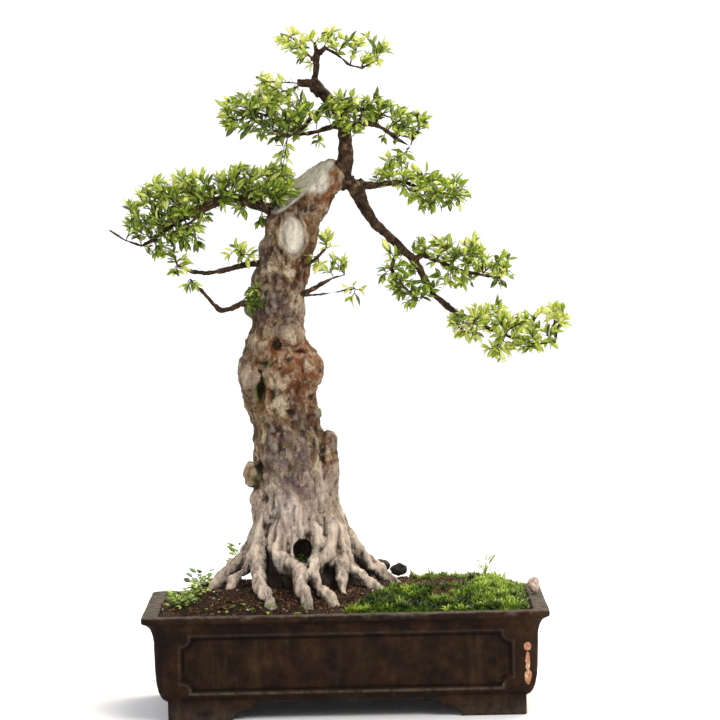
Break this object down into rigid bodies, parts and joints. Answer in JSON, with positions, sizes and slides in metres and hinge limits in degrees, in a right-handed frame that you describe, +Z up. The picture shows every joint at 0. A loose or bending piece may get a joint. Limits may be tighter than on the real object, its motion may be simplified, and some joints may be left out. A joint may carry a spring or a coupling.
{
  "type": "potted bonsai tree",
  "caption": "Bonsai tree with a thick gnarled leaning trunk, spreading surface roots and pads of small leaves, planted with moss in a shallow rectangular clay pot on bracket feet.",
  "frame": {"origin": "middle of the pot's footprint on the surface its feet stand on", "axes": "+Z up, +X to the right seen from the front, -Y towards the viewer; the pot is long in X"},
  "size_m": [0.5738, 0.34, 0.8479],
  "materials": {
    "clay": "unglazed dark brown stoneware, worn grey on the rim",
    "screen_plastic": "moulded mesh",
    "wire": "drawn, dull",
    "soil": "crumbly brown earth",
    "moss": "soft green moss and short grass",
    "dark_stone": "rough dark stone",
    "pale_stone": "rough pale stone",
    "trunk_bark": "mottled flaking bark",
    "branch_bark": "dark rough bark",
    "foliage": "small glossy living leaves",
    "weeds": "soft living leaves"
  },
  "bodies": {
    "root": {"pot": "clay", "drain_screen_left": "screen_plastic", "screen_wire_left": "wire", "drain_screen_right": "screen_plastic", "screen_wire_right": "wire", "soil": "soil", "moss_bed": "moss", "dark_stone_large": "dark_stone", "dark_stone_small": "dark_stone", "pale_stone": "pale_stone", "weed_left_rim": "weeds", "weed_left_back": "weeds", "fern_behind_root": "weeds", "grass_tuft": "weeds", "trunk": "trunk_bark", "crown_leader": "branch_bark", "crown_branch_left": "branch_bark", "crown_branch_left_back": "branch_bark", "crown_branch_right": "branch_bark", "crown_branch_right_back": "branch_bark", "crown_branch_stub": "branch_bark", "crown_top_right": "branch_bark", "crown_top_left": "branch_bark", "left_pad_branch": "branch_bark", "left_pad_branch_back": "branch_bark", "left_pad_branch_front": "branch_bark", "left_middle_branch": "branch_bark", "left_lower_twig": "branch_bark", "right_cascade_branch": "branch_bark", "right_upper_branch": "branch_bark", "right_side_branch": "branch_bark", "right_hanging_branch": "branch_bark", "shoot_upper_stem": "branch_bark", "shoot_middle_stem": "branch_bark", "shoot_tip_stem": "branch_bark", "foliage_crown_left": "foliage", "foliage_crown_right": "foliage", "foliage_upper_left": "foliage", "foliage_upper_right": "foliage", "foliage_left_inner": "foliage", "foliage_left_outer": "foliage", "foliage_left_tip": "foliage", "foliage_left_sprout": "foliage", "foliage_trunk_left": "foliage", "foliage_left_low_tip": "foliage", "foliage_shoot_upper": "foliage", "foliage_shoot_middle": "foliage", "foliage_shoot_tip": "foliage", "foliage_right_upper": "foliage", "foliage_right_hanging": "foliage", "foliage_right_middle": "foliage", "foliage_right_end": "foliage"}
  },
  "joints": []
}
